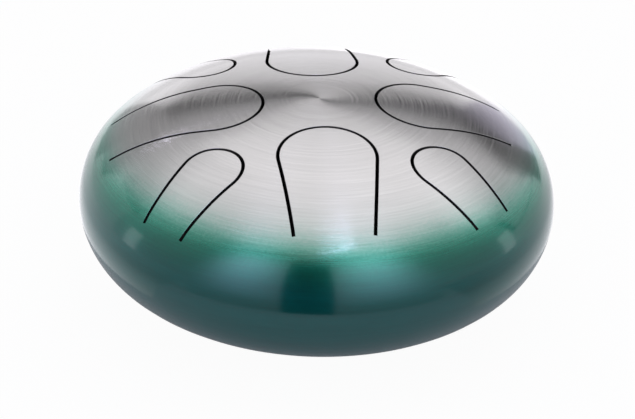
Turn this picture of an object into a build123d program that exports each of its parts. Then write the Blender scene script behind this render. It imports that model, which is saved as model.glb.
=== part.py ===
from build123d import *

import os
from collections import namedtuple
from math import acos, asin, atan2, cos, degrees, hypot, radians, sin, sqrt

# Steel tongue drum: two equal domed steel pressings, butt-welded rim to rim. Slots cut through the top
# pressing leave eight tongues that spring at their roots. The bottom pressing has a trimmed sound port
# in its middle and stands on four screwed-on rubber feet.
# Millimetres, +Z up, origin on the floor below the crown, front tongue towards -Y.

# The two pressings: a crown arc, a shoulder arc and a rim arc, each tangent to the next
drum_diameter = 220.0
crown_radius = 320.0
shoulder_radius = 87.5
rim_radius = 33.0
rim_turn = 53.0  # degrees that the rim arc turns, up from the equator
sheet_thickness = 2.0
weld_depth = 1.4  # depth of the V groove that the rim weld fills

# The tongues: a round inner end, and straight sides that draw in to the root
slot_width = 1.5
wide_tip_distance = 25.7  # from the drum's axis to the middle of the slot at the tip
wide_end_radius = 21.5
wide_root_width = 34.0
narrow_tip_inset = 52.6  # from the rim to the middle of the slot at the tip
narrow_end_radius = 13.8
narrow_root_width = 21.4
root_clearance = 0.05  # the line at the root where a tongue starts to bend

# How far each tongue's root stays from the rim, which sets its length and so its note
front_root_inset = 19.8
front_right_root_inset = 11.2
right_root_inset = 23.8
back_right_root_inset = 12.5
back_root_inset = 18.5
back_left_root_inset = 10.0
left_root_inset = 15.1
front_left_root_inset = 8.8

# The sound port and its rubber edge trim
port_diameter = 56.0
trim_wall = 1.8
trim_lip = 4.0  # how far the trim reaches over the sheet
trim_rounding = 1.2

# The rubber feet, evenly spaced round a circle
foot_count = 4
foot_circle_radius = 52.0
foot_start_angle = 45.0
ground_clearance = 5.0  # from the table to the lowest point of the shell
foot_top_diameter = 18.0
foot_bottom_diameter = 16.0
foot_rounding = 1.0

# The screws, washers and nuts that hold the feet
screw_diameter = 4.0
screw_end_length = 1.0  # thread that shows past the nut
head_diameter = 7.6
head_height = 2.5
head_rounding = 1.2
head_setback = 0.9  # from the table up to the screw head
drive_length = 4.4  # the cross recess for the screwdriver
drive_width = 1.0
drive_depth = 1.4
head_washer_diameter = 9.0
head_washer_thickness = 0.8
damping_washer_diameter = 12.0
damping_washer_thickness = 2.0  # on the screw's axis
nut_across_flats = 7.0
nut_hex_height = 3.8
nut_collar_diameter = 6.2
nut_collar_height = 1.2
screw_clearance = 0.1  # round the screw in rubber, washers and nuts
shell_hole_clearance = 0.3
recess_clearance = 0.5  # round the head washer in the foot

# The dome's arcs, with centres above the equator plane and angles down from the vertical
DomeArc = namedtuple("DomeArc", "x y radius start end")
drum_radius = drum_diameter / 2
rim_x = drum_radius - rim_radius
rim_start = radians(90 - rim_turn)
shoulder_x = rim_x - (shoulder_radius - rim_radius) * sin(rim_start)
shoulder_y = -(shoulder_radius - rim_radius) * cos(rim_start)
shoulder_start = asin(shoulder_x / (crown_radius - shoulder_radius))
crown_y = shoulder_y - (crown_radius - shoulder_radius) * cos(shoulder_start)
dome_arcs = [
    DomeArc(0, crown_y, crown_radius, 0, shoulder_start),
    DomeArc(shoulder_x, shoulder_y, shoulder_radius, shoulder_start, rim_start),
    DomeArc(rim_x, 0, rim_radius, rim_start, radians(90)),
]

# Worked out from the sizes above
dome_rise = crown_y + crown_radius
equator_height = ground_clearance + dome_rise
screw_radius = screw_diameter / 2
port_radius = port_diameter / 2
overshoot = 1.0  # how far a cut or a blank runs past the surface that trims it

# Half-sections are drawn from the axis outwards, with the crown of the pressing along the plane's Y
upper_half = Plane((0, 0, equator_height), x_dir=(1, 0, 0), z_dir=(0, -1, 0))
lower_half = Plane((0, 0, equator_height), x_dir=(1, 0, 0), z_dir=(0, 1, 0))

TongueKind = namedtuple("TongueKind", "tip_distance end_radius root_width")
wide = TongueKind(wide_tip_distance, wide_end_radius, wide_root_width)
narrow = TongueKind(drum_radius - narrow_tip_inset, narrow_end_radius, narrow_root_width)

# Counter-clockwise from the front, seen from above
tongue_layout = [
    ("tongue_front", wide, front_root_inset),
    ("tongue_front_right", narrow, front_right_root_inset),
    ("tongue_right", wide, right_root_inset),
    ("tongue_back_right", narrow, back_right_root_inset),
    ("tongue_back", wide, back_root_inset),
    ("tongue_back_left", narrow, back_left_root_inset),
    ("tongue_left", wide, left_root_inset),
    ("tongue_front_left", narrow, front_left_root_inset),
]
front_angle = -90.0
tongue_pitch = 360.0 / len(tongue_layout)


def dome_curve(inset):
    """Half-section of a dome from crown to rim, set in from the outer surface."""
    for arc in dome_arcs:
        CenterArc((arc.x, arc.y), arc.radius - inset, 90 - degrees(arc.start), degrees(arc.start - arc.end))


def dome_height(distance, inset):
    """Height above the equator, at a distance from the axis, of a surface set in from the outer one."""
    for arc in dome_arcs:
        radius = arc.radius - inset
        if distance <= arc.x + radius * sin(arc.end):
            return arc.y + sqrt(radius**2 - (distance - arc.x) ** 2)


def solid_domes(inset):
    """Both domes filled solid, rim to rim."""
    with BuildPart() as domes:
        with BuildSketch(upper_half):
            with BuildLine():
                dome_curve(inset)
                mirror(about=Plane.XZ)
                Line((0, dome_rise - inset), (0, inset - dome_rise))
            make_face()
        revolve(axis=Axis.Z)
    return domes.part


def weld_groove(half):
    """Half-section of the V groove round the rim, drawn past the outer surface."""
    outside = drum_radius + overshoot
    with BuildSketch(half) as groove:
        with BuildLine():
            Polyline((drum_radius - weld_depth, 0), (outside, 0), (outside, weld_depth + overshoot), close=True)
        make_face()
    return groove.sketch


def pressed_dome(half):
    """One pressing before its openings are cut, with half of the weld groove round its rim."""
    with BuildPart() as dome:
        with BuildSketch(half):
            with BuildLine():
                dome_curve(0)
                dome_curve(sheet_thickness)
                Line((0, dome_rise), (0, dome_rise - sheet_thickness))
                Line((drum_radius, 0), (drum_radius - sheet_thickness, 0))
            make_face()
        revolve(axis=Axis.Z)
        revolve(weld_groove(half), axis=Axis.Z, mode=Mode.SUBTRACT)
    return dome.part


def tongue_outline(number, kind, root_inset, margin, root_gap=0.0):
    """Plan outline along the middle of a tongue's slot, grown by a margin, with tangent sides."""
    angle = radians(front_angle + number * tongue_pitch)
    plan = Plane((0, 0, equator_height), x_dir=(cos(angle), sin(angle), 0), z_dir=(0, 0, 1))
    end_radius = kind.end_radius + margin
    centre = kind.tip_distance + kind.end_radius
    root = drum_radius - root_inset - root_gap
    root_half = kind.root_width / 2 + margin
    side_angle = atan2(root_half, root - centre) + acos(end_radius / hypot(root - centre, root_half))
    side_x = centre + end_radius * cos(side_angle)
    side_y = end_radius * sin(side_angle)
    with BuildSketch(plan) as outline:
        with BuildLine():
            ThreePointArc((side_x, side_y), (centre - end_radius, 0), (side_x, -side_y))
            Polyline((side_x, -side_y), (root, -root_half), (root, root_half), (side_x, side_y))
        make_face()
    return outline.sketch


def foot_places():
    """The places round the drum's axis where the feet are screwed on."""
    return PolarLocations(foot_circle_radius, foot_count, foot_start_angle)


os.makedirs("parts", exist_ok=True)
envelope = solid_domes(0)
cavity = solid_domes(sheet_thickness)

with BuildPart() as top_shell:
    add(pressed_dome(upper_half))
    for number, (name, kind, root_inset) in enumerate(tongue_layout):
        window = tongue_outline(number, kind, root_inset, slot_width / 2)
        extrude(window, amount=dome_rise + overshoot, mode=Mode.SUBTRACT)
top_shell.part.label = "top_shell"
export_step(top_shell.part, "parts/top_shell.step")

top_blank = pressed_dome(upper_half)
for number, (name, kind, root_inset) in enumerate(tongue_layout):
    with BuildPart() as tongue:
        outline = tongue_outline(number, kind, root_inset, -slot_width / 2, root_clearance)
        extrude(outline, amount=dome_rise + overshoot)
        add(top_blank, mode=Mode.INTERSECT)
    tongue.part.label = name
    export_step(tongue.part, f"parts/{name}.step")

with BuildPart() as bottom_shell:
    add(pressed_dome(lower_half))
    Hole(port_radius)
    with foot_places():
        Hole(screw_radius + shell_hole_clearance)
bottom_shell.part.label = "bottom_shell"
export_step(bottom_shell.part, "parts/bottom_shell.step")

with BuildPart() as rim_weld:
    for half in (upper_half, lower_half):
        revolve(weld_groove(half), axis=Axis.Z)
    add(envelope, mode=Mode.INTERSECT)
rim_weld.part.label = "rim_weld"
export_step(rim_weld.part, "parts/rim_weld.step")

# The trim is a ring round the port's edge, with a groove that the sheet fills
port_edge_outside = equator_height - dome_height(port_radius, 0)
port_edge_inside = equator_height - dome_height(port_radius, sheet_thickness)
trim_width = trim_wall + trim_lip
trim_height = port_edge_inside - port_edge_outside + 2 * trim_wall
trim_middle = (port_radius + (trim_lip - trim_wall) / 2, (port_edge_inside + port_edge_outside) / 2)
with BuildPart() as port_trim:
    with BuildSketch(Plane.XZ):
        with Locations(trim_middle):
            RectangleRounded(trim_width, trim_height, trim_rounding)
    revolve(axis=Axis.Z)
    add(bottom_shell.part, mode=Mode.SUBTRACT)
port_trim.part.label = "port_trim"
export_step(port_trim.part, "parts/port_trim.step")

# Heights along a foot's screw, from the table up
head_top = head_setback + head_height
recess_top = head_top + head_washer_thickness
sheet_inside = equator_height - dome_height(foot_circle_radius, sheet_thickness)
nut_seat = sheet_inside + damping_washer_thickness
nut_top = nut_seat + nut_hex_height + nut_collar_height
screw_end = nut_top + screw_end_length

# A foot is a tapered rubber block whose top is cut to the shell, with a recess for the screw head below
foot_top_radius = foot_top_diameter / 2
foot_outer_reach = foot_circle_radius + foot_top_radius
foot_blank_top = equator_height - dome_height(foot_outer_reach, 0) + overshoot
recess_radius = head_washer_diameter / 2 + recess_clearance
for number, place in enumerate(foot_places().locations):
    with BuildPart() as foot:
        with Locations(place):
            Cone(
                foot_bottom_diameter / 2,
                foot_top_radius,
                foot_blank_top,
                align=(Align.CENTER, Align.CENTER, Align.MIN),
            )
        fillet(foot.edges().filter_by(GeomType.CIRCLE).sort_by(Axis.Z)[0], foot_rounding)
        with Locations(Plane(place.position, z_dir=(0, 0, -1))):
            CounterBoreHole(screw_radius + screw_clearance, recess_radius, recess_top)
        add(envelope, mode=Mode.SUBTRACT)
    foot.part.label = f"foot_{number + 1}"
    export_step(foot.part, f"parts/foot_{number + 1}.step")

with BuildPart() as foot_screws:
    with BuildSketch(Plane.XY.offset(head_setback)):
        with foot_places():
            Circle(head_diameter / 2)
    extrude(amount=head_height)
    fillet(foot_screws.edges().filter_by(GeomType.CIRCLE).group_by(Axis.Z)[0], head_rounding)
    with BuildSketch(Plane.XY.offset(head_top)):
        with foot_places():
            Circle(screw_radius)
    extrude(amount=screw_end - head_top)
    with BuildSketch(Plane.XY.offset(head_setback)):
        with foot_places():
            Rectangle(drive_length, drive_width)
            Rectangle(drive_width, drive_length)
    extrude(amount=drive_depth, mode=Mode.SUBTRACT)
foot_screws.part.label = "foot_screws"
export_step(foot_screws.part, "parts/foot_screws.step")

with BuildPart() as foot_head_washers:
    with BuildSketch(Plane.XY.offset(head_top)):
        with foot_places():
            Circle(head_washer_diameter / 2)
            Circle(screw_radius + screw_clearance, mode=Mode.SUBTRACT)
    extrude(amount=head_washer_thickness)
foot_head_washers.part.label = "foot_head_washers"
export_step(foot_head_washers.part, "parts/foot_head_washers.step")

# Flat under the nut, and cut to the slope of the sheet below
with BuildPart() as foot_damping_washers:
    with BuildSketch(Plane.XY):
        with foot_places():
            Circle(damping_washer_diameter / 2)
            Circle(screw_radius + screw_clearance, mode=Mode.SUBTRACT)
    extrude(amount=nut_seat)
    add(cavity, mode=Mode.INTERSECT)
foot_damping_washers.part.label = "foot_damping_washers"
export_step(foot_damping_washers.part, "parts/foot_damping_washers.step")

with BuildPart() as foot_nuts:
    with BuildSketch(Plane.XY.offset(nut_seat)):
        with foot_places():
            RegularPolygon(nut_across_flats / 2, 6, major_radius=False)
    extrude(amount=nut_hex_height)
    with BuildSketch(Plane.XY.offset(nut_seat + nut_hex_height)):
        with foot_places():
            Circle(nut_collar_diameter / 2)
    extrude(amount=nut_collar_height)
    with foot_places():
        Hole(screw_radius + screw_clearance)
foot_nuts.part.label = "foot_nuts"
export_step(foot_nuts.part, "parts/foot_nuts.step")
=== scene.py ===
from collections import namedtuple
from math import acos, asin, atan2, ceil, cos, hypot, pi, radians, sin, sqrt, tan

import bmesh
import bpy
import numpy as np
from mathutils import Matrix, Vector
from mathutils.geometry import delaunay_2d_cdt


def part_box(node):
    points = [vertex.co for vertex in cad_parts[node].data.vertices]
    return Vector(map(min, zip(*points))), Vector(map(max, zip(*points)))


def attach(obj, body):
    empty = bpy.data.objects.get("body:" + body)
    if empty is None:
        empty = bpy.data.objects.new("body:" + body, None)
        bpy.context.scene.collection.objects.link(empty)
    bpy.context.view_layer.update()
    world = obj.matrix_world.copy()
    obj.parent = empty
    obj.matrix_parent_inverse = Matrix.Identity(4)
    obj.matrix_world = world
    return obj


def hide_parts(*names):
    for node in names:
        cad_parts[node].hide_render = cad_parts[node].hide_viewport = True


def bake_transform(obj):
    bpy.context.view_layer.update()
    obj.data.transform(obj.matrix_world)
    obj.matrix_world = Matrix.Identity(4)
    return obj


# The looks of a steel tongue drum: two lacquered steel pressings welded at the rim, eight slotted tongues
# in the top one, and a trimmed sound port and four rubber feet below. Metres, in the frame of the solids.

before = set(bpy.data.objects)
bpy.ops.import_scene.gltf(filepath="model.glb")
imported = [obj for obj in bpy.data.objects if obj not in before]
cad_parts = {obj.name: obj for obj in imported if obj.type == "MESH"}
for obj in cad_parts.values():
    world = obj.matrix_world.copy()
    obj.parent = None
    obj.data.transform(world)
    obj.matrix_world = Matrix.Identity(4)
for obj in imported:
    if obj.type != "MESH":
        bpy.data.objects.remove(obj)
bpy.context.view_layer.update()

MM = 0.001

# Sizes of the sheet metal, as in the solids
CROWN_RADIUS = 320 * MM
SHOULDER_RADIUS = 87.5 * MM
RIM_RADIUS = 33 * MM
RIM_TURN = radians(53)
SHEET_THICKNESS = 2 * MM
WELD_DEPTH = 1.4 * MM
SLOT_WIDTH = 1.5 * MM

# The bevel along the slots, which only the looks have, and the length in which it runs out at a root
SLOT_BEVEL = 0.08 * MM
BEVEL_RUN_OUT = 2 * MM

# The openings of the bottom shell, as in the solids
PORT_RADIUS = 28 * MM
FOOT_CIRCLE_RADIUS = 52 * MM
FOOT_COUNT = 4
FOOT_START_ANGLE = radians(45)
SCREW_RADIUS = 2 * MM
SHELL_HOLE_CLEARANCE = 0.3 * MM

# How finely the meshes are divided
ROUND_SEGMENTS = 288
GRID_PITCH = 3 * MM
OUTLINE_PITCH = 0.9 * MM
GRID_CLEARANCE = 1.1 * MM
PLAN_RADIUS = 103.5 * MM  # up to here the dome is triangulated in plan, and beyond it lies in rings
BAND_STEP = radians(3)
ROOT_DIVISIONS = 12
END_WALL_DIVISIONS = 3
WELD_STEPS = 8
FEWEST_HOLE_POINTS = 24
FEWEST_RING_POINTS = 6
SHARP_ANGLE = radians(35)  # edges of the weld that turn more than this look sharp
EDGE_TOLERANCE = 0.0001 * MM
TINY = 1e-9

# The dome's arcs: centres from the axis and the equator plane, angles down from the vertical
weld_low, weld_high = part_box("rim_weld")
DRUM_RADIUS = min(weld_high.x, weld_high.y, -weld_low.x, -weld_low.y)
EQUATOR = (weld_low.z + weld_high.z) / 2

DomeArc = namedtuple("DomeArc", "x y radius start end")
rim_x = DRUM_RADIUS - RIM_RADIUS
rim_start = pi / 2 - RIM_TURN
shoulder_x = rim_x - (SHOULDER_RADIUS - RIM_RADIUS) * sin(rim_start)
shoulder_y = -(SHOULDER_RADIUS - RIM_RADIUS) * cos(rim_start)
shoulder_start = asin(shoulder_x / (CROWN_RADIUS - SHOULDER_RADIUS))
crown_y = shoulder_y - (CROWN_RADIUS - SHOULDER_RADIUS) * cos(shoulder_start)
DOME_ARCS = [
    DomeArc(0, crown_y, CROWN_RADIUS, 0, shoulder_start),
    DomeArc(shoulder_x, shoulder_y, SHOULDER_RADIUS, shoulder_start, rim_start),
    DomeArc(rim_x, 0, RIM_RADIUS, rim_start, pi / 2),
]

# The tongues, counter-clockwise from the front, seen from above
Tongue = namedtuple("Tongue", "name angle tip_distance end_radius root_width root_inset")
WIDE = dict(tip_distance=25.7 * MM, end_radius=21.5 * MM, root_width=34 * MM)
NARROW = dict(tip_distance=DRUM_RADIUS - 52.6 * MM, end_radius=13.8 * MM, root_width=21.4 * MM)
TONGUE_LAYOUT = [
    ("tongue_front", WIDE, 19.8 * MM),
    ("tongue_front_right", NARROW, 11.2 * MM),
    ("tongue_right", WIDE, 23.8 * MM),
    ("tongue_back_right", NARROW, 12.5 * MM),
    ("tongue_back", WIDE, 18.5 * MM),
    ("tongue_back_left", NARROW, 10.0 * MM),
    ("tongue_left", WIDE, 15.1 * MM),
    ("tongue_front_left", NARROW, 8.8 * MM),
]
TONGUES = [
    Tongue(name=name, angle=-pi / 2 + number * 2 * pi / len(TONGUE_LAYOUT), root_inset=root_inset, **kind)
    for number, (name, kind, root_inset) in enumerate(TONGUE_LAYOUT)
]


def dome_height(distance, inset=0.0):
    """Height above the equator, at distances from the axis, of a surface set in from the outer one."""
    distance = np.asarray(distance, float)
    height = np.zeros_like(distance)
    for arc in reversed(DOME_ARCS):
        radius = arc.radius - inset
        here = distance <= arc.x + radius * sin(arc.end)
        rise = np.sqrt(np.clip(radius**2 - (distance - arc.x) ** 2, 0, None))
        height = np.where(here, arc.y + rise, height)
    return height


def dome_slope(distance, inset=0.0):
    """Angle of the dome's normal from the vertical, at distances from the axis."""
    distance = np.asarray(distance, float)
    slope = np.full_like(distance, pi / 2)
    for arc in reversed(DOME_ARCS):
        radius = arc.radius - inset
        here = distance <= arc.x + radius * sin(arc.end)
        slope = np.where(here, np.arcsin(np.clip((distance - arc.x) / radius, -1, 1)), slope)
    return slope


def dome_normals(plan, inset=0.0):
    """Outward unit normals of the dome above plan points."""
    distance = np.hypot(plan[:, 0], plan[:, 1])
    slope = dome_slope(distance, inset)
    outward = plan / np.maximum(distance, TINY)[:, None]
    return np.column_stack([outward * np.sin(slope)[:, None], np.cos(slope)])


def dome_points(plan, inset=0.0, lower=0.0):
    """Points of the dome above plan points, lowered if need be, with heights from the equator plane."""
    distance = np.hypot(plan[:, 0], plan[:, 1])
    return np.column_stack([plan, dome_height(distance, inset) - lower])


class MeshParts:
    """Collects vertices, faces, corner normals and material numbers, and makes them one object."""

    def __init__(self):
        self.vertices = []
        self.faces = []
        self.normals = []
        self.materials = []

    def add_vertices(self, points):
        first = len(self.vertices)
        self.vertices.extend(tuple(point) for point in points)
        return list(range(first, len(self.vertices)))

    def add_face(self, corners, normals, material):
        """A face with one normal per corner; corners that share a place are dropped."""
        kept = []
        for corner, normal in zip(corners, normals):
            place = self.vertices[corner]
            if not kept or place not in (self.vertices[kept[-1][0]], self.vertices[kept[0][0]]):
                kept.append((corner, normal))
        if len(kept) > 2:
            self.faces.append([corner for corner, normal in kept])
            self.normals.extend(tuple(normal) for corner, normal in kept)
            self.materials.append(material)

    def add_strip(self, lower, upper, lower_normals, upper_normals, material, keep=None):
        """Quads between two closed rows of vertices; seen from outside, the rows run to the right."""
        count = len(lower)
        for i in range(count):
            j = (i + 1) % count
            if keep is None or keep[i]:
                corners = (lower[i], lower[j], upper[j], upper[i])
                normals = (lower_normals[i], lower_normals[j], upper_normals[j], upper_normals[i])
                self.add_face(corners, normals, material)

    def make(self, name, materials, turned_over=False):
        """One object of the mesh, standing on the equator plane or hanging turned over from it."""
        flip = -1 if turned_over else 1
        vertices = [(x, y, EQUATOR + flip * z) for x, y, z in self.vertices]
        mesh = bpy.data.meshes.new(name)
        mesh.from_pydata(vertices, [], [face[::flip] for face in self.faces])
        corner_normals = []
        start = 0
        for face in self.faces:
            block = self.normals[start : start + len(face)]
            start += len(face)
            corner_normals.extend((x, y, flip * z) for x, y, z in block[::flip])
        for material in materials:
            mesh.materials.append(material)
        mesh.polygons.foreach_set("material_index", self.materials)
        mesh.polygons.foreach_set("use_smooth", [True] * len(self.faces))
        mesh.normals_split_custom_set(corner_normals)
        cleaned = bmesh.new()
        cleaned.from_mesh(mesh)
        loose = [vertex for vertex in cleaned.verts if not vertex.link_faces]
        bmesh.ops.delete(cleaned, geom=loose, context="VERTS")
        cleaned.to_mesh(mesh)
        cleaned.free()
        piece = bpy.data.objects.new(name, mesh)
        bpy.context.scene.collection.objects.link(piece)
        return piece


# A closed loop in plan with the sheet on its left: points, normals away from the sheet, bevel widths,
# and for each point whether the edge to the next one is a free edge of the sheet
PlanLoop = namedtuple("PlanLoop", "points normals bevels free")


def divided(start, end, pitch):
    """Points from start up to, and not with, end, about a pitch apart."""
    count = max(1, ceil(hypot(end[0] - start[0], end[1] - start[1]) / pitch))
    return [tuple(np.add(start, np.subtract(end, start) * i / count)) for i in range(count)]


def tongue_loop(tongue, margin):
    """Loop round a tongue, counter-clockwise, grown by a margin from the middle of its slot."""
    end_radius = tongue.end_radius + margin
    centre = tongue.tip_distance + tongue.end_radius
    root = DRUM_RADIUS - tongue.root_inset
    root_half = tongue.root_width / 2 + margin
    tongue_half = tongue.root_width / 2 - SLOT_WIDTH / 2
    side_angle = atan2(root_half, root - centre) + acos(end_radius / hypot(root - centre, root_half))
    side_normal = (cos(side_angle), sin(side_angle))
    side_start = (centre + end_radius * side_normal[0], end_radius * side_normal[1])
    corner = (root, root_half)

    entries = []
    side = divided(corner, side_start, GRID_PITCH)
    for point in side:
        run = hypot(point[0] - corner[0], point[1] - corner[1])
        share = 1.0 if margin > 0 else min(1.0, run / BEVEL_RUN_OUT)
        entries.append((point, side_normal, share, True))
    steps = 2 * ceil(end_radius * (pi - side_angle) / OUTLINE_PITCH)
    for step in range(steps + 1):
        angle = side_angle + (2 * pi - 2 * side_angle) * step / steps
        normal = (cos(angle), sin(angle))
        entries.append(((centre + end_radius * normal[0], end_radius * normal[1]), normal, 1.0, True))
    for point, normal, share, free in reversed(entries[1 : len(side)]):
        entries.append(((point[0], -point[1]), (normal[0], -normal[1]), share, True))
    end_wall = divided((root, -root_half), (root, -tongue_half), SLOT_WIDTH / END_WALL_DIVISIONS)
    for number, point in enumerate(end_wall if margin > 0 else []):
        normal = (1, -1) if number == 0 else (1, 0)
        entries.append((point, normal, 1 - number / len(end_wall), True))
    for number in range(ROOT_DIVISIONS):
        place = -tongue_half + 2 * tongue_half * number / ROOT_DIVISIONS
        entries.append(((root, place), (1, 0), 0.0, False))
    if margin > 0:
        entries.append(((root, tongue_half), (1, 0), 0.0, True))
        for number, point in enumerate(reversed(end_wall[1:])):
            entries.append(((point[0], -point[1]), (1, 0), (number + 1) / len(end_wall), True))
        entries[0] = (corner, (1, 1), 1.0, True)

    turn = np.array([[cos(tongue.angle), sin(tongue.angle)], [-sin(tongue.angle), cos(tongue.angle)]])
    points = np.array([entry[0] for entry in entries]) @ turn
    normals = np.array([entry[1] for entry in entries], float) @ turn
    bevels = SLOT_BEVEL * np.array([entry[2] for entry in entries])
    return PlanLoop(points, normals, bevels, [entry[3] for entry in entries])


def window_loop(tongue):
    """Loop of the window in the shell round a tongue, with the sheet outside it."""
    loop = tongue_loop(tongue, SLOT_WIDTH / 2)
    free = [loop.free[i - 1] for i in range(len(loop.free))][::-1]
    return PlanLoop(loop.points[::-1], -loop.normals[::-1], loop.bevels[::-1], free)


def round_loop(centre, radius, bevel):
    """Loop of a round hole, with the sheet outside it."""
    count = max(FEWEST_HOLE_POINTS, ceil(2 * pi * radius / OUTLINE_PITCH))
    angles = -np.arange(count) * 2 * pi / count
    outward = np.column_stack([np.cos(angles), np.sin(angles)])
    return PlanLoop(np.asarray(centre) + radius * outward, -outward, np.full(count, bevel), [True] * count)


def inside_loop(points, loop):
    """Whether points lie inside a closed loop."""
    inside = np.zeros(len(points), bool)
    for (x0, y0), (x1, y1) in zip(loop, np.roll(loop, -1, axis=0)):
        crosses = (y0 > points[:, 1]) != (y1 > points[:, 1])
        if y0 != y1:
            inside ^= crosses & (points[:, 0] < x0 + (points[:, 1] - y0) * (x1 - x0) / (y1 - y0))
    return inside


def plan_grid(outer_radius):
    """Points on evenly spaced rings about the axis."""
    rings = [(0.0, 0.0)]
    for number in range(1, ceil(outer_radius / GRID_PITCH)):
        radius = number * GRID_PITCH
        count = max(FEWEST_RING_POINTS, round(2 * pi * radius / GRID_PITCH))
        angles = (np.arange(count) + 0.5 * (number % 2)) * 2 * pi / count
        rings.extend(zip(radius * np.cos(angles), radius * np.sin(angles)))
    return np.array(rings)


def triangulate(borders, keep_inside):
    """Plan points and triangles that fill the space that a test keeps between closed borders."""
    outline = np.concatenate(borders)
    grid = plan_grid(np.hypot(*outline.T).max())
    grid = grid[keep_inside(grid)]
    nearest = np.full(len(grid), np.inf)
    for point in outline:
        nearest = np.minimum(nearest, np.hypot(*(grid - point).T))
    points = np.concatenate([outline, grid[nearest > GRID_CLEARANCE]])
    edges = []
    start = 0
    for border in borders:
        count = len(border)
        edges.extend((start + i, start + (i + 1) % count) for i in range(count))
        start += count
    scale = 1 / DRUM_RADIUS
    made = delaunay_2d_cdt([Vector(point * scale) for point in points], edges, [], 0, TINY)
    triangles = np.array([[made[3][corner][0] for corner in face] for face in made[2]])
    middles = points[triangles].mean(axis=1)
    triangles = triangles[keep_inside(middles)]
    a, b, c = (points[triangles[:, i]] for i in range(3))
    turned = (b - a)[:, 0] * (c - a)[:, 1] < (b - a)[:, 1] * (c - a)[:, 0]
    triangles[turned] = triangles[turned][:, ::-1]
    return points, triangles


OUTER_FINISH, INNER_FINISH, CUT_FINISH = range(3)


def add_sheet(parts, loops, plan, triangles):
    """Faces of the sheet, with the bevels and walls of its loops; returns the outer and inner vertices."""
    inner_plan = plan.copy()
    start = 0
    for loop in loops:
        inner_plan[start : start + len(loop.points)] = loop.points
        start += len(loop.points)
    outer = parts.add_vertices(dome_points(plan))
    inner = parts.add_vertices(dome_points(inner_plan, SHEET_THICKNESS))
    outer_normals = dome_normals(plan)
    inner_normals = -dome_normals(inner_plan, SHEET_THICKNESS)
    for triangle in triangles:
        parts.add_face([outer[i] for i in triangle], outer_normals[triangle], OUTER_FINISH)
        parts.add_face([inner[i] for i in triangle[::-1]], inner_normals[triangle[::-1]], INNER_FINISH)

    start = 0
    for loop in loops:
        rows = slice(start, start + len(loop.points))
        start += len(loop.points)
        edge = parts.add_vertices(dome_points(loop.points, lower=loop.bevels))
        level = np.column_stack([loop.normals, np.zeros(len(loop.points))])
        level /= np.linalg.norm(level, axis=1)[:, None]
        slanted = level + outer_normals[rows]
        slanted /= np.linalg.norm(slanted, axis=1)[:, None]
        joined = [not free for free in loop.free]
        parts.add_strip(edge, outer[rows], slanted, slanted, OUTER_FINISH, keep=loop.free)
        parts.add_strip(inner[rows], edge, level, level, CUT_FINISH, keep=loop.free)
        parts.add_strip(inner[rows], edge, level, level, INNER_FINISH, keep=joined)
    return outer, inner


def bevelled_points(loop):
    """Where the outer face of the sheet ends along a loop."""
    return loop.points - loop.normals * loop.bevels[:, None]


def ring_plan(radius):
    angles = np.arange(ROUND_SEGMENTS) * 2 * pi / ROUND_SEGMENTS
    return radius * np.column_stack([np.cos(angles), np.sin(angles)])


def rim_profile(inset, last_height):
    """Distances, heights and slopes from the plan's edge down the rim to a height above the equator."""
    arc = DOME_ARCS[-1]
    radius = arc.radius - inset
    first = asin((PLAN_RADIUS - arc.x) / radius)
    last = acos(last_height / radius)
    steps = ceil((last - first) / BAND_STEP)
    angles = [first + (last - first) * (step + 1) / steps for step in range(steps)]
    return [(arc.x + radius * sin(angle), radius * cos(angle), angle) for angle in angles]


def weld_edge_height():
    """Height above the equator at which the weld's groove meets the outer surface."""
    reach = DRUM_RADIUS - WELD_DEPTH - DOME_ARCS[-1].x
    return (sqrt(2 * RIM_RADIUS**2 - reach**2) - reach) / 2


def add_rim(parts, outer_ring, inner_ring):
    """The rim from the plan's edge down to the equator: outside, weld groove, flat edge and inside."""
    plan = ring_plan(1.0)
    level = np.column_stack([plan, np.zeros(ROUND_SEGMENTS)])
    down = np.tile((0, 0, -1), (ROUND_SEGMENTS, 1))

    def tilted(angle):
        return np.column_stack([plan * sin(angle), np.full(ROUND_SEGMENTS, cos(angle))])

    def ring(distance, height):
        return parts.add_vertices(np.column_stack([plan * distance, np.full(ROUND_SEGMENTS, height)]))

    above, above_normals = outer_ring, tilted(float(dome_slope(PLAN_RADIUS)))
    for distance, height, angle in rim_profile(0, weld_edge_height()):
        below, below_normals = ring(distance, height), tilted(angle)
        parts.add_strip(below, above, below_normals, above_normals, OUTER_FINISH)
        above, above_normals = below, below_normals
    groove = ring(DRUM_RADIUS - WELD_DEPTH, 0)
    facing = tilted(3 * pi / 4)
    parts.add_strip(groove, above, facing, facing, INNER_FINISH)
    foot = ring(DRUM_RADIUS - SHEET_THICKNESS, 0)
    parts.add_strip(foot, groove, down, down, INNER_FINISH)

    above, above_normals = inner_ring, -tilted(float(dome_slope(PLAN_RADIUS, SHEET_THICKNESS)))
    profile = rim_profile(SHEET_THICKNESS, 0)
    for number, (distance, height, angle) in enumerate(profile):
        below = foot if number == len(profile) - 1 else ring(distance, height)
        below_normals = -tilted(angle)
        parts.add_strip(above, below, above_normals, below_normals, INNER_FINISH)
        above, above_normals = below, below_normals


def make_pressing(name, loops, materials, turned_over):
    """One domed pressing with openings along the loops."""
    edge = ring_plan(PLAN_RADIUS)
    borders = [bevelled_points(loop) for loop in loops]

    def in_sheet(points):
        kept = np.hypot(*points.T) < PLAN_RADIUS - EDGE_TOLERANCE
        for border in borders:
            kept &= ~inside_loop(points, border)
        return kept

    plan, triangles = triangulate(borders + [edge], in_sheet)
    parts = MeshParts()
    outer, inner = add_sheet(parts, loops, plan, triangles)
    first = sum(len(loop.points) for loop in loops)
    ring = slice(first, first + ROUND_SEGMENTS)
    add_rim(parts, outer[ring], inner[ring])
    return parts.make(name, materials, turned_over)


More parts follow.
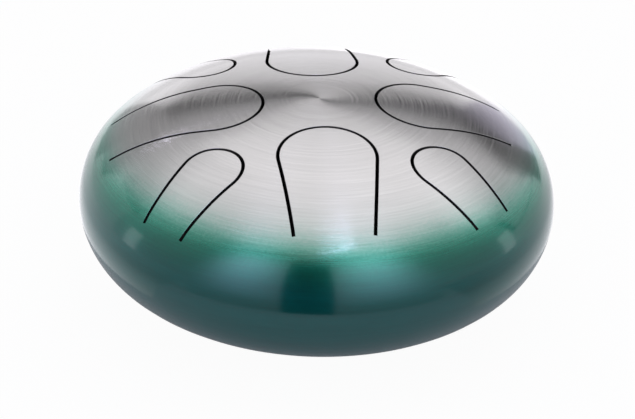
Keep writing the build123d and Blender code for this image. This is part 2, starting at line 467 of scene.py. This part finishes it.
def make_tongue(tongue, materials):
    """One tongue, whose root lies against the shell."""
    loop = tongue_loop(tongue, -SLOT_WIDTH / 2)
    border = bevelled_points(loop)
    plan, triangles = triangulate([border], lambda points: inside_loop(points, border))
    parts = MeshParts()
    add_sheet(parts, [loop], plan, triangles)
    return parts.make(tongue.name + "_plate", materials)


def lathe(name, profile, material, segments):
    """A closed profile of (radius, height) points turned about the drum's axis."""
    mesh = bpy.data.meshes.new(name)
    turned = bmesh.new()
    angles = [2 * pi * step / segments for step in range(segments)]
    rows = [
        [turned.verts.new((radius * cos(angle), radius * sin(angle), height)) for angle in angles]
        for radius, height in profile
    ]
    for row, after in zip(rows, rows[1:] + rows[:1]):
        for step in range(segments):
            after_step = (step + 1) % segments
            face = turned.faces.new((row[step], row[after_step], after[after_step], after[step]))
            face.smooth = True
    bmesh.ops.recalc_face_normals(turned, faces=turned.faces)
    turned.to_mesh(mesh)
    turned.free()
    mesh.set_sharp_from_angle(angle=SHARP_ANGLE)
    mesh.materials.append(material)
    piece = bpy.data.objects.new(name, mesh)
    bpy.context.scene.collection.objects.link(piece)
    return piece


# Materials


def new_material(name):
    material = bpy.data.materials.new(name)
    material.use_nodes = True
    tree = material.node_tree
    return material, tree, tree.nodes["Principled BSDF"]


def bare_material(name):
    """A material with nothing in its tree but an output, whose socket is returned with it."""
    material = bpy.data.materials.new(name)
    material.use_nodes = True
    tree = material.node_tree
    tree.nodes.clear()
    return material, tree, tree.nodes.new("ShaderNodeOutputMaterial").inputs[0]


def set_inputs(tree, node, inputs):
    """Sets a node's sockets; inputs are (socket, value or socket to link) pairs."""
    for socket, value in inputs:
        if isinstance(value, bpy.types.NodeSocket):
            tree.links.new(value, node.inputs[socket])
        else:
            node.inputs[socket].default_value = value


def add_node(tree, kind, inputs=(), **settings):
    node = tree.nodes.new(kind)
    for key, value in settings.items():
        setattr(node, key, value)
    set_inputs(tree, node, inputs)
    return node


def math_node(tree, operation, *values):
    return add_node(tree, "ShaderNodeMath", list(enumerate(values)), operation=operation).outputs[0]


def vector_node(tree, operation, *values, output=0):
    node = add_node(tree, "ShaderNodeVectorMath", list(enumerate(values)), operation=operation)
    return node.outputs[output]


def scaled(tree, vector, factor):
    inputs = [(0, vector), ("Scale", factor)]
    return add_node(tree, "ShaderNodeVectorMath", inputs, operation="SCALE").outputs[0]


def mixed_colour(tree, share, first, second):
    inputs = [("Factor", share), ("A", first), ("B", second)]
    return add_node(tree, "ShaderNodeMix", inputs, data_type="RGBA").outputs["Result"]


def noise(tree, vector, scale, detail, dimensions="3D", w=None):
    inputs = [("Vector", vector), ("Scale", scale), ("Detail", detail)]
    if w is not None:
        inputs.append(("W", w))
    return add_node(tree, "ShaderNodeTexNoise", inputs, noise_dimensions=dimensions).outputs[0]


def map_range(tree, value, from_low, from_high, to_low, to_high, interpolation="LINEAR"):
    inputs = list(enumerate((value, from_low, from_high, to_low, to_high)))
    return add_node(tree, "ShaderNodeMapRange", inputs, interpolation_type=interpolation).outputs[0]


NOISE_RANGE = (0.3, 0.7)  # where nearly all the values of a noise lie


def spread(tree, pattern, low, high):
    """A noise's values, spread out from low to high."""
    return map_range(tree, pattern, *NOISE_RANGE, low, high)


def bump(tree, height, strength, depth):
    inputs = [("Strength", strength), ("Distance", depth), ("Height", height)]
    return add_node(tree, "ShaderNodeBump", inputs).outputs[0]


def object_position(tree):
    return add_node(tree, "ShaderNodeTexCoord").outputs["Object"]


STEEL_COLOUR = (0.70, 0.693, 0.672)
STEEL_ROUGHNESS = (0.22, 0.255)
FINE_BRUSH = (60, 90)  # noise scale along the brush lines, and how many times finer it is across them
COARSE_BRUSH = (25, 40)
BRUSH_DETAIL = 2.0
BRUSH_SHADE = (0.9, 1.08)
BRUSH_BUMP = 0.15
BUMP_DEPTH = 0.02 * MM
RING_PITCH = 1.1 * MM
RING_WANDER = 0.2  # how far the brush strays from a true circle, as a slope
HUB_TWIST = 1.0  # the slope by which the brush spirals out of the middle of the crown
HUB_REACH = 9 * MM

LACQUER_TRANSMITTANCE = (0.033, 0.40, 0.345)  # through one coat, in red, green and blue
DEEP_LACQUER = (0.001, 0.165, 0.163)  # through the full lacquer below, which leans to blue
LACQUER_COATS = 1.65
LACQUER_WARMTH = 0.75  # how much more blue a half-thick coat takes out
LACQUER_HAZE = 0.04  # how much one coat adds to the roughness of the steel
FADE_MIDDLE = EQUATOR + 21.7 * MM
FADE_SOFTNESS = 2.5 * MM
DEEP_MIDDLE = EQUATOR + 12.5 * MM
DEEP_SOFTNESS = 2.2 * MM
FADE_TILT = (0.013, 0.025)  # the fade was sprayed a little lower on the right and at the back
FADE_STREAKS = 0.5 * MM  # how far the lacquer runs up and down along the brush lines
FADE_DRIFT = 0.8 * MM  # how far the fade wanders up and down round the drum
DRIFT_SCALE = 18
FADE_SPECK = 0.5 * MM  # how far single specks of the spray stray
SPECK_SCALE = 900
FLAKE_SIZE = 0.15 * MM
FLAKE_TURN = 0.45  # the slope by which the lacquer's metal flakes turn the light away from the brush lines
PEEL_SCALE = 450  # noise scale of the clear coat's faint orange peel
PEEL_BUMP = 0.1
COAT_ROUGHNESS = 0.12
COAT_INDEX = 1.6


def brush_lines(tree, level, distance, along, across):
    """Rings about the drum's axis, broken along their length."""
    return noise(tree, level, along, BRUSH_DETAIL, "4D", math_node(tree, "MULTIPLY", distance, across))


def across_brush(tree, position, level, distance, cover, bare):
    """Direction across the brush lines: outward, twisted at the hub, scattered by the lacquer's flakes."""
    rings = add_node(
        tree, "ShaderNodeTexNoise", [("W", distance), ("Scale", 1 / RING_PITCH), ("Detail", 1.0)],
        noise_dimensions="1D",
    )
    stray = map_range(tree, rings.outputs[0], 0, 1, -RING_WANDER, RING_WANDER)
    stray = math_node(tree, "MULTIPLY", stray, bare)
    fall = math_node(tree, "EXPONENT", math_node(tree, "DIVIDE", distance, -HUB_REACH))
    stray = math_node(tree, "MULTIPLY_ADD", fall, HUB_TWIST, stray)
    flakes = spread(tree, noise(tree, position, 1 / FLAKE_SIZE, detail=0.0), -FLAKE_TURN, FLAKE_TURN)
    stray = math_node(tree, "MULTIPLY_ADD", flakes, cover, stray)
    around = vector_node(tree, "CROSS_PRODUCT", (0, 0, 1), level)
    across = vector_node(tree, "NORMALIZE", vector_node(tree, "ADD", level, scaled(tree, around, stray)))
    turned = add_node(
        tree, "ShaderNodeVectorTransform", [(0, across)],
        vector_type="VECTOR", convert_from="OBJECT", convert_to="WORLD",
    )
    return turned.outputs[0]


def fade_height(tree, position, fine):
    """Height that the lacquer's fade follows, blurred by the brush lines, slow drift and specks."""
    height = vector_node(tree, "DOT_PRODUCT", position, (*FADE_TILT, 1), output=1)
    drift = noise(tree, position, DRIFT_SCALE, detail=1.0)
    speck = noise(tree, position, SPECK_SCALE, detail=2.0)
    for pattern, reach in ((fine, FADE_STREAKS), (drift, FADE_DRIFT), (speck, FADE_SPECK)):
        height = math_node(tree, "ADD", height, spread(tree, pattern, -reach, reach))
    return height


def fade(tree, height, middle_height, softness):
    """One below a height and nothing above it, with a soft change between."""
    above = math_node(tree, "DIVIDE", math_node(tree, "SUBTRACT", height, middle_height), softness)
    return math_node(tree, "DIVIDE", 1.0, math_node(tree, "ADD", math_node(tree, "EXPONENT", above), 1.0))


def lacquer_colour(tree, height, cover, bare, coats):
    """What the lacquer lets through, thin in the fade and deep below it."""
    channels = [math_node(tree, "POWER", share, coats) for share in LACQUER_TRANSMITTANCE]
    warmth = math_node(tree, "MULTIPLY", math_node(tree, "MULTIPLY", cover, bare), LACQUER_WARMTH)
    channels[2] = math_node(tree, "MULTIPLY", channels[2], math_node(tree, "SUBTRACT", 1.0, warmth))
    thin = add_node(tree, "ShaderNodeCombineColor", list(enumerate(channels))).outputs[0]
    depth = fade(tree, height, DEEP_MIDDLE, DEEP_SOFTNESS)
    return mixed_colour(tree, depth, thin, (*DEEP_LACQUER, 1))


def steel_finish():
    """Brushed steel under a clear coat, with a green lacquer that fades in over the shoulder."""
    material, tree, shader = new_material("brushed_steel_green_fade")
    position = object_position(tree)
    level = vector_node(tree, "MULTIPLY", position, (1, 1, 0))
    distance = vector_node(tree, "LENGTH", level, output=1)
    fine = brush_lines(tree, level, distance, *FINE_BRUSH)
    coarse = brush_lines(tree, level, distance, *COARSE_BRUSH)

    height = fade_height(tree, position, fine)
    cover = fade(tree, height, FADE_MIDDLE, FADE_SOFTNESS)
    bare = math_node(tree, "SUBTRACT", 1.0, cover)
    coats = math_node(tree, "MULTIPLY", cover, LACQUER_COATS)
    lines = math_node(tree, "ADD", fine, coarse)
    shade = map_range(tree, lines, 2 * NOISE_RANGE[0], 2 * NOISE_RANGE[1], *BRUSH_SHADE)
    brushed = scaled(tree, STEEL_COLOUR, shade)
    lacquer = lacquer_colour(tree, height, cover, bare, coats)
    roughness = spread(tree, fine, *STEEL_ROUGHNESS)
    peel = noise(tree, position, PEEL_SCALE, detail=1.0)
    set_inputs(tree, shader, [
        ("Base Color", vector_node(tree, "MULTIPLY", brushed, lacquer)),
        ("Roughness", math_node(tree, "MULTIPLY_ADD", coats, LACQUER_HAZE, roughness)),
        ("Normal", bump(tree, fine, BRUSH_BUMP, BUMP_DEPTH)),
        ("Tangent", across_brush(tree, position, level, distance, cover, bare)),
        ("Metallic", 1.0),
        ("Anisotropic", 1.0),
        ("Coat Weight", 1.0),
        ("Coat Roughness", COAT_ROUGHNESS),
        ("Coat IOR", COAT_INDEX),
        ("Coat Normal", bump(tree, peel, PEEL_BUMP, BUMP_DEPTH)),
    ])
    return material


def mottle(tree, shader, pattern, stops, colours, roughness):
    """Lets colour and roughness follow a noise; the stops are where the two colours are reached."""
    ramp = add_node(tree, "ShaderNodeValToRGB", [(0, pattern)])
    for element, stop, colour in zip(ramp.color_ramp.elements, stops, colours):
        element.position = stop
        element.color = (*colour, 1)
    set_inputs(tree, shader, [
        ("Base Color", ramp.outputs[0]),
        ("Roughness", spread(tree, pattern, *roughness)),
    ])


def inside_finish():
    """Bare pressed steel with a dull oxide, inside the drum."""
    material, tree, shader = new_material("bare_steel_inside")
    clouds = noise(tree, object_position(tree), scale=45, detail=5.0)
    colours = [(0.10, 0.10, 0.105), (0.19, 0.185, 0.18)]
    mottle(tree, shader, clouds, stops=(0.35, 0.7), colours=colours, roughness=(0.5, 0.7))
    shader.inputs["Metallic"].default_value = 0.85
    return material


def cut_finish():
    """The laser-cut walls of the slots, darkened by the heat of the cut."""
    material, tree, shader = new_material("cut_steel_edge")
    upright = vector_node(tree, "MULTIPLY", object_position(tree), (1, 1, 0.05))
    stripes = noise(tree, upright, scale=2500, detail=2.0)
    colours = [(0.035, 0.034, 0.034), (0.085, 0.082, 0.08)]
    mottle(tree, shader, stripes, stops=(0.3, 0.7), colours=colours, roughness=(0.45, 0.6))
    shader.inputs["Metallic"].default_value = 0.8
    return material


def rubber_finish():
    """Matt black moulded rubber with a fine grain and a little dust."""
    material, tree, shader = new_material("black_rubber")
    position = object_position(tree)
    dust = noise(tree, position, scale=160, detail=4.0)
    colours = [(0.011, 0.011, 0.0115), (0.022, 0.022, 0.022)]
    mottle(tree, shader, dust, stops=(0.4, 0.75), colours=colours, roughness=(0.55, 0.72))
    grain = noise(tree, position, scale=2600, detail=3.0)
    tree.links.new(bump(tree, grain, strength=0.35, depth=0.05 * MM), shader.inputs["Normal"])
    return material


def zinc_finish():
    """Bright zinc plating with faint cloudy passivation."""
    material, tree, shader = new_material("zinc_plated_steel")
    clouds = noise(tree, object_position(tree), scale=420, detail=3.0)
    colours = [(0.50, 0.51, 0.53), (0.63, 0.63, 0.61)]
    mottle(tree, shader, clouds, stops=(0.35, 0.68), colours=colours, roughness=(0.24, 0.38))
    shader.inputs["Metallic"].default_value = 1.0
    return material


steel = steel_finish()
sheet_materials = [steel, inside_finish(), cut_finish()]

# The two pressings and the weld

foot_angles = [FOOT_START_ANGLE + 2 * pi * number / FOOT_COUNT for number in range(FOOT_COUNT)]
foot_centres = [(FOOT_CIRCLE_RADIUS * cos(angle), FOOT_CIRCLE_RADIUS * sin(angle)) for angle in foot_angles]

top = make_pressing("top_pressing", [window_loop(tongue) for tongue in TONGUES], sheet_materials, False)
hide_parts("top_shell")
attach(top, "drum_body")

hole_radius = SCREW_RADIUS + SHELL_HOLE_CLEARANCE
bottom_loops = [round_loop((0, 0), PORT_RADIUS, SLOT_BEVEL)]
bottom_loops += [round_loop(centre, hole_radius, 0.0) for centre in foot_centres]
bottom = make_pressing("bottom_pressing", bottom_loops, sheet_materials, True)
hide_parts("bottom_shell")
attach(bottom, "drum_body")

weld_edge = weld_edge_height()
weld_profile = [(DRUM_RADIUS - WELD_DEPTH, EQUATOR)]
for step in range(WELD_STEPS + 1):
    height = weld_edge * (2 * step / WELD_STEPS - 1)
    weld_profile.append((DOME_ARCS[-1].x + sqrt(RIM_RADIUS**2 - height**2), EQUATOR + height))
weld = lathe("rim_weld_bead", weld_profile, steel, ROUND_SEGMENTS)
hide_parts("rim_weld")
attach(weld, "drum_body")

# The tongues, each its own plate
for tongue in TONGUES:
    plate = make_tongue(tongue, sheet_materials)
    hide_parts(tongue.name)
    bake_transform(plate)

# Finishes of the pieces that stay as the solids are
feet = [f"foot_{number + 1}" for number in range(FOOT_COUNT)]
node_finishes = [
    (rubber_finish(), ["port_trim", *feet, "foot_damping_washers"]),
    (zinc_finish(), ["foot_screws", "foot_head_washers", "foot_nuts"]),
]
for finish, names in node_finishes:
    for name in names:
        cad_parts[name].data.materials.clear()
        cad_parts[name].data.materials.append(finish)

# Camera, at the photograph's viewing angle
IMAGE_WIDTH = 635
FOCAL_PIXELS = 1787.7
SENSOR_WIDTH = 36
CLIP_START = 0.01
CAMERA_AZIMUTH = radians(-5.13)
CAMERA_ELEVATION = radians(29.64)
CAMERA_DISTANCE = 7.58 * DRUM_RADIUS
CAMERA_ROLL = radians(1.86)
CENTRE_OFFSET_PIXELS = (-0.8, -18.6)

middle = Vector((0, 0, EQUATOR))
camera_back = Vector(
    (
        sin(CAMERA_AZIMUTH) * cos(CAMERA_ELEVATION),
        -cos(CAMERA_AZIMUTH) * cos(CAMERA_ELEVATION),
        sin(CAMERA_ELEVATION),
    )
)
camera_right = Vector((cos(CAMERA_AZIMUTH), sin(CAMERA_AZIMUTH), 0))
camera_up = camera_back.cross(camera_right)
rolled_right = camera_right * cos(CAMERA_ROLL) + camera_up * sin(CAMERA_ROLL)
rolled_up = camera_back.cross(rolled_right)
metres_per_pixel = CAMERA_DISTANCE / FOCAL_PIXELS
aim = middle - metres_per_pixel * (
    CENTRE_OFFSET_PIXELS[0] * rolled_right - CENTRE_OFFSET_PIXELS[1] * rolled_up
)
camera_place = middle + CAMERA_DISTANCE * camera_back
axis_back = (camera_place - aim).normalized()
axis_right = rolled_up.cross(axis_back).normalized()
axis_up = axis_back.cross(axis_right)
camera = bpy.data.objects.new("camera", bpy.data.cameras.new("camera"))
bpy.context.scene.collection.objects.link(camera)
turned = Matrix((axis_right, axis_up, axis_back)).transposed().to_4x4()
camera.matrix_world = Matrix.Translation(camera_place) @ turned
camera.data.sensor_width = SENSOR_WIDTH
camera.data.lens = SENSOR_WIDTH * FOCAL_PIXELS / IMAGE_WIDTH
camera.data.clip_start = CLIP_START
bpy.context.scene.camera = camera

# Studio


def studio_direction(azimuth, elevation):
    """Unit vector at an azimuth to the right of the camera's side of the object, and an elevation."""
    turn = CAMERA_AZIMUTH + radians(azimuth)
    tilt = radians(elevation)
    return Vector((sin(turn) * cos(tilt), -cos(turn) * cos(tilt), sin(tilt)))


toward_camera = studio_direction(0, 0)
rightward = studio_direction(90, 0)


def share_along(tree, direction, axis):
    """How far a unit vector points along an axis."""
    return vector_node(tree, "DOT_PRODUCT", direction, tuple(axis), output=1)


def stage_mesh(name, points, faces, material):
    mesh = bpy.data.meshes.new(name)
    mesh.from_pydata([tuple(point) for point in points], [], faces)
    mesh.materials.append(material)
    sheet = bpy.data.objects.new(name, mesh)
    bpy.context.scene.collection.objects.link(sheet)
    return sheet


def emission(tree, colour, strength):
    inputs = [("Color", (*colour, 1)), ("Strength", strength)]
    return add_node(tree, "ShaderNodeEmission", inputs).outputs[0]


def sheet_place(tree):
    """Place on a sheet, from nothing to one along each axis of its box."""
    generated = add_node(tree, "ShaderNodeTexCoord").outputs["Generated"]
    return add_node(tree, "ShaderNodeSeparateXYZ", [(0, generated)]).outputs


WHITE = (1, 1, 1)
COOL_LIGHT = (0.68, 0.76, 1.0)
VIOLET_LIGHT = (0.69, 0.69, 1.0)
PALE_LIGHT = (0.98, 0.96, 1.0)
LILAC_LIGHT = (0.86, 0.81, 1.0)

PANEL_DISTANCE = 1.1
PANEL_SHADE = 0.31  # share of the panel's height, below which it falls into shade
POOL_RISE = (0.147, 0.54)  # shares of the panel's height, between which the pool grows
POOL_TOP = (0.6, 1.0)  # and between which it fades again
POOL_TOP_SHARE = 0.1
POOL_INNER_END = 1.2  # where the pool would end, past the panel's inner edge at one


def glow(name, colour, low, high, along):
    """Emission that changes from low to high along one axis of the sheet's box."""
    material, tree, surface = bare_material(name)
    strength = map_range(tree, sheet_place(tree)[along], 0, 1, low, high)
    tree.links.new(emission(tree, colour, strength), surface)
    return material


def pool_glow(name, panel_strengths, pool_colour, pool_strength, pool_middle, outer_left):
    """A pale panel with a pool of light on it, which falls off upward, downward and to both sides."""
    material, tree, surface = bare_material(name)
    place = sheet_place(tree)
    inward = place["X"] if outer_left else math_node(tree, "SUBTRACT", 1.0, place["X"])
    outer_half = map_range(tree, inward, 0, pool_middle, 0, 1, "SMOOTHSTEP")
    inner_half = map_range(tree, inward, pool_middle, POOL_INNER_END, 1, 0, "SMOOTHSTEP")
    across = math_node(tree, "MULTIPLY", outer_half, inner_half)
    rise = map_range(tree, place["Z"], *POOL_RISE, 0, pool_strength)
    top_share = map_range(tree, place["Z"], *POOL_TOP, 1, POOL_TOP_SHARE, "SMOOTHSTEP")
    pool = math_node(tree, "MULTIPLY", across, math_node(tree, "MULTIPLY", rise, top_share))
    shade = map_range(tree, place["Z"], 0, PANEL_SHADE, *panel_strengths)
    lights = [emission(tree, pool_colour, pool), emission(tree, PALE_LIGHT, shade)]
    both = add_node(tree, "ShaderNodeAddShader", list(enumerate(lights)))
    tree.links.new(both.outputs[0], surface)
    return material


def panel(name, azimuths, elevations, material):
    """An upright sheet that spans azimuths and elevations, seen from the middle of the object."""
    left, right = azimuths
    facing = studio_direction((left + right) / 2, 0)
    across = Vector((-facing.y, facing.x, 0))
    half = PANEL_DISTANCE * tan(radians(right - left) / 2)
    bottom_edge, top_edge = (PANEL_DISTANCE * tan(radians(elevation)) for elevation in elevations)
    base = middle + facing * PANEL_DISTANCE
    corners = [
        base + across * half * horizontal + Vector((0, 0, height))
        for horizontal, height in ((-1, bottom_edge), (1, bottom_edge), (1, top_edge), (-1, top_edge))
    ]
    sheet = stage_mesh(name, corners, [(0, 1, 2, 3)], material)
    sheet.visible_camera = False
    sheet.visible_shadow = False


# The two large panels before the object, with the gap between them that its green side mirrors
FRONT_PANEL_ELEVATIONS = (-24, 60)
left_glow = pool_glow(
    "left_panel_glow", panel_strengths=(0.32, 0.47),
    pool_colour=VIOLET_LIGHT, pool_strength=1.9, pool_middle=0.5, outer_left=True,
)
panel("left_panel", (-55, -13.5), FRONT_PANEL_ELEVATIONS, left_glow)
right_glow = pool_glow(
    "right_panel_glow", panel_strengths=(0.32, 0.53),
    pool_colour=COOL_LIGHT, pool_strength=1.88, pool_middle=0.54, outer_left=False,
)
panel("right_panel", (9, 57), FRONT_PANEL_ELEVATIONS, right_glow)

# The other panels: azimuths and elevations in degrees, strengths at the two ends of an axis, and colour
SOFTBOXES = [
    ("backdrop", (160, 204), (5, 21), (1.3, 0.72), "Z", PALE_LIGHT),
    ("backdrop_foot", (160, 204), (-4, 5), (0.85, 0.85), "Z", PALE_LIGHT),
    ("backdrop_right_edge", (145, 160), (-4, 20), (0.85, 0.15), "Z", LILAC_LIGHT),
    ("backdrop_left_edge", (204, 232), (-8, 30), (0.33, 0.33), "Z", PALE_LIGHT),
    ("back_softbox", (158, 202), (40, 62), (1.2, 1.2), "Z", PALE_LIGHT),
    ("left_wall", (-100, -55), (-24, 57), (0.42, 0.62), "Y", PALE_LIGHT),
    ("left_back_wall", (-127, -100), (-9, 27), (0.8, 0.75), "Z", PALE_LIGHT),
    ("left_far_wall", (-140, -127), (-9, 9), (0.75, 0.75), "Z", PALE_LIGHT),
    ("right_wall", (57, 100), (-24, 57), (0.48, 0.55), "Y", PALE_LIGHT),
    ("right_back_wall", (100, 134), (-9, 9), (0.72, 0.72), "Z", PALE_LIGHT),
    ("right_back_window", (103, 133), (10, 34), (0.74, 0.42), "Z", PALE_LIGHT),
    ("left_window", (-92, -84), (-7, 16), (1.45, 1.45), "Z", PALE_LIGHT),
    ("right_window", (91, 99), (-6, 16), (1.4, 1.4), "Z", PALE_LIGHT),
    ("left_back_lamp", (-149.5, -147.5), (32, 33.5), (6, 6), "Z", LILAC_LIGHT),
    # The overhead lamp is a strip that rises to the right
    ("overhead_lamp_1", (4, 14), (68.2, 70), (8, 8), "Z", VIOLET_LIGHT),
    ("overhead_lamp_2", (14, 30), (70, 72.5), (8, 8), "Z", VIOLET_LIGHT),
    ("overhead_lamp_3", (30, 46), (72.8, 75), (8, 8), "Z", VIOLET_LIGHT),
]
for name, azimuths, elevations, strengths, along, colour in SOFTBOXES:
    panel(name, azimuths, elevations, glow(name + "_glow", colour, *strengths, along))

# The room's brightness at elevations in degrees: a dark band behind the object, and a dark front
ROOM_BEHIND = [(-90, 0.15), (16, 0.12), (22, 0.04), (25, 0.1), (28, 0.37), (38, 0.64), (50, 1.0), (90, 1.0)]
ROOM_BEFORE = [(-20, 0.02), (50, 0.03), (58, 0.25), (66, 0.55), (90, 0.95)]
TINT_BEHIND = (0.97, 0.955, 1.0)
TINT_BEFORE = (0.97, 0.97, 1.0)
ROOM_BLEND = 0.35  # how far backward and forward the two halves blend, as a share of straight back
ROOM_SIDES = (0.79, 1.29)  # strengths at the far left and the far right


def rise_ramp(tree, rise, stops, tint):
    """Brightness by elevation, tinted; rise goes from nothing straight down to one straight up."""
    ramp = add_node(tree, "ShaderNodeValToRGB", [(0, rise)])
    elements = ramp.color_ramp.elements
    while len(elements) < len(stops):
        elements.new(0.5)
    for element, (elevation, value) in zip(elements, stops):
        element.position = (sin(radians(elevation)) + 1) / 2
        element.color = (*(value * share for share in tint), 1)
    return ramp.outputs[0]


def studio_world():
    """White for the camera; for the object, a pale room with a dark band behind and a dark front."""
    world = bpy.data.worlds.new("studio")
    world.use_nodes = True
    bpy.context.scene.world = world
    tree = world.node_tree
    tree.nodes.clear()
    direction = add_node(tree, "ShaderNodeTexCoord").outputs["Generated"]
    upward = add_node(tree, "ShaderNodeSeparateXYZ", [(0, direction)]).outputs["Z"]
    rise = map_range(tree, upward, -1, 1, 0, 1)
    behind = rise_ramp(tree, rise, ROOM_BEHIND, TINT_BEHIND)
    before = rise_ramp(tree, rise, ROOM_BEFORE, TINT_BEFORE)
    backward = share_along(tree, direction, -toward_camera)
    share = map_range(tree, backward, -ROOM_BLEND, ROOM_BLEND, 0, 1, "SMOOTHSTEP")
    room = mixed_colour(tree, share, before, behind)
    strength = map_range(tree, share_along(tree, direction, rightward), -1, 1, *ROOM_SIDES)
    room_light = add_node(tree, "ShaderNodeBackground", [("Color", room), ("Strength", strength)])
    white = add_node(tree, "ShaderNodeBackground", [("Color", (*WHITE, 1)), ("Strength", 1.0)])
    path = add_node(tree, "ShaderNodeLightPath")
    mixed = add_node(
        tree, "ShaderNodeMixShader",
        [(0, path.outputs["Is Camera Ray"]), (1, room_light.outputs[0]), (2, white.outputs[0])],
    )
    output = add_node(tree, "ShaderNodeOutputWorld")
    tree.links.new(mixed.outputs[0], output.inputs[0])


studio_world()

# The table, with a round edge before the object
FLOOR_FRONT_RADIUS = 0.26
FLOOR_FRONT_AZIMUTH = 75
FLOOR_FRONT_STEPS = 30
FLOOR_BACK = 1.1
FLOOR_HALF_WIDTH = 0.9
TABLE_COLOUR = (0.6, 0.6, 0.61)
TABLE_WHITE = 1.03
WHITE_TO_CAMERA = 0.93  # share of the table's look that is plain white, the rest being shaded
WHITE_TO_GLOSS = 0.08
PORT_SHADE = (32 * MM, 42 * MM)  # below the port the table is in real shadow


def floor_finish():
    """White table: mostly plain white to the eye, with a share of real shading for the shadow."""
    material, tree, surface = bare_material("white_table")
    shaded = add_node(tree, "ShaderNodeBsdfDiffuse", [("Color", (*TABLE_COLOUR, 1))])
    path = add_node(tree, "ShaderNodeLightPath").outputs
    gloss = math_node(tree, "MAXIMUM", path["Is Glossy Ray"], path["Is Transmission Ray"])
    distance = vector_node(tree, "LENGTH", object_position(tree), output=1)
    open_table = map_range(tree, distance, *PORT_SHADE, 0, WHITE_TO_CAMERA)
    to_camera = math_node(tree, "MULTIPLY", path["Is Camera Ray"], open_table)
    share = math_node(tree, "MAXIMUM", to_camera, math_node(tree, "MULTIPLY", gloss, WHITE_TO_GLOSS))
    mixed = add_node(
        tree, "ShaderNodeMixShader",
        [(0, share), (1, shaded.outputs[0]), (2, emission(tree, WHITE, TABLE_WHITE))],
    )
    tree.links.new(mixed.outputs[0], surface)
    return material


floor_corners = [
    studio_direction(FLOOR_FRONT_AZIMUTH * (2 * step / FLOOR_FRONT_STEPS - 1), 0) * FLOOR_FRONT_RADIUS
    for step in range(FLOOR_FRONT_STEPS + 1)
]
floor_corners += [
    toward_camera * forward + rightward * sideways
    for forward, sideways in (
        (floor_corners[-1].dot(toward_camera), FLOOR_HALF_WIDTH),
        (-FLOOR_BACK, FLOOR_HALF_WIDTH),
        (-FLOOR_BACK, -FLOOR_HALF_WIDTH),
        (floor_corners[0].dot(toward_camera), -FLOOR_HALF_WIDTH),
    )
]
stage_mesh("floor", floor_corners, [tuple(range(len(floor_corners)))], floor_finish())

# Painted light on the table beside and behind the object: a glowing sheet that only reflections see,
# standing in for the light that falls there
SWEEP_AZIMUTH = 55
SWEEP_STEPS = 28
SWEEP_INNER_RADIUS = 0.135
SWEEP_OUTER_RADIUS = 1.0
SWEEP_LIFT = 0.5 * MM
SWEEP_BEARINGS = (-0.57, 0.64)  # shares of straight back, between which the light grows
SWEEP_STRENGTHS = (0.45, 1.15)
SWEEP_SIDES = (1.0, 0.8)  # shares on the left and on the right
# The painted light on the table is stronger near the object, between these distances
NEAR_DISTANCES = (0.14, 0.25)
NEAR_SHARES = (1.45, 0.85)
FAR_DISTANCES = (0.22, 0.36)  # between which the extra light behind the object sets in
FAR_STRENGTH = 1.0
FAR_LEFT_SHARE = 0.4  # of the extra light, on the left
FAR_BLEND = 0.06  # how far to the left and the right its two sides blend


def painted_table_light():
    """Painted light on the table, seen only in reflections, which grows toward the back and near the
    object.
    """
    material, tree, surface = bare_material("painted_table_light")
    position = object_position(tree)
    distance = vector_node(tree, "LENGTH", position, output=1)
    bearing = vector_node(tree, "NORMALIZE", position)
    backward = share_along(tree, bearing, -toward_camera)
    sideways = share_along(tree, bearing, rightward)
    turn = map_range(tree, backward, *SWEEP_BEARINGS, *SWEEP_STRENGTHS)
    behind = map_range(tree, backward, SWEEP_BEARINGS[1], 1, 0, FAR_STRENGTH)
    behind_side = map_range(tree, sideways, -FAR_BLEND, FAR_BLEND, FAR_LEFT_SHARE, 1)
    far = map_range(tree, distance, *FAR_DISTANCES, 0, 1)
    extra = math_node(tree, "MULTIPLY", behind, behind_side)
    strength = math_node(tree, "MULTIPLY_ADD", extra, far, turn)
    side = map_range(tree, sideways, -1, 1, *SWEEP_SIDES)
    near = map_range(tree, distance, *NEAR_DISTANCES, *NEAR_SHARES)
    strength = math_node(tree, "MULTIPLY", math_node(tree, "MULTIPLY", strength, side), near)
    tree.links.new(emission(tree, PALE_LIGHT, strength), surface)
    return material


sweep_span = 360 - 2 * SWEEP_AZIMUTH
sweep_turns = [SWEEP_AZIMUTH + sweep_span * step / SWEEP_STEPS for step in range(SWEEP_STEPS + 1)]
sweep_points = [
    studio_direction(turn, 0) * radius + Vector((0, 0, SWEEP_LIFT))
    for turn in sweep_turns
    for radius in (SWEEP_INNER_RADIUS, SWEEP_OUTER_RADIUS)
]
sweep_faces = [(2 * step, 2 * step + 1, 2 * step + 3, 2 * step + 2) for step in range(SWEEP_STEPS)]
# The sheet glows but is no lamp: only reflections see it, as a painted reflection of a lit table
sweep = stage_mesh("sweep", sweep_points, sweep_faces, painted_table_light())
sweep.visible_camera = False
sweep.visible_diffuse = False
sweep.visible_shadow = False

bpy.context.scene.view_settings.view_transform = "Standard"
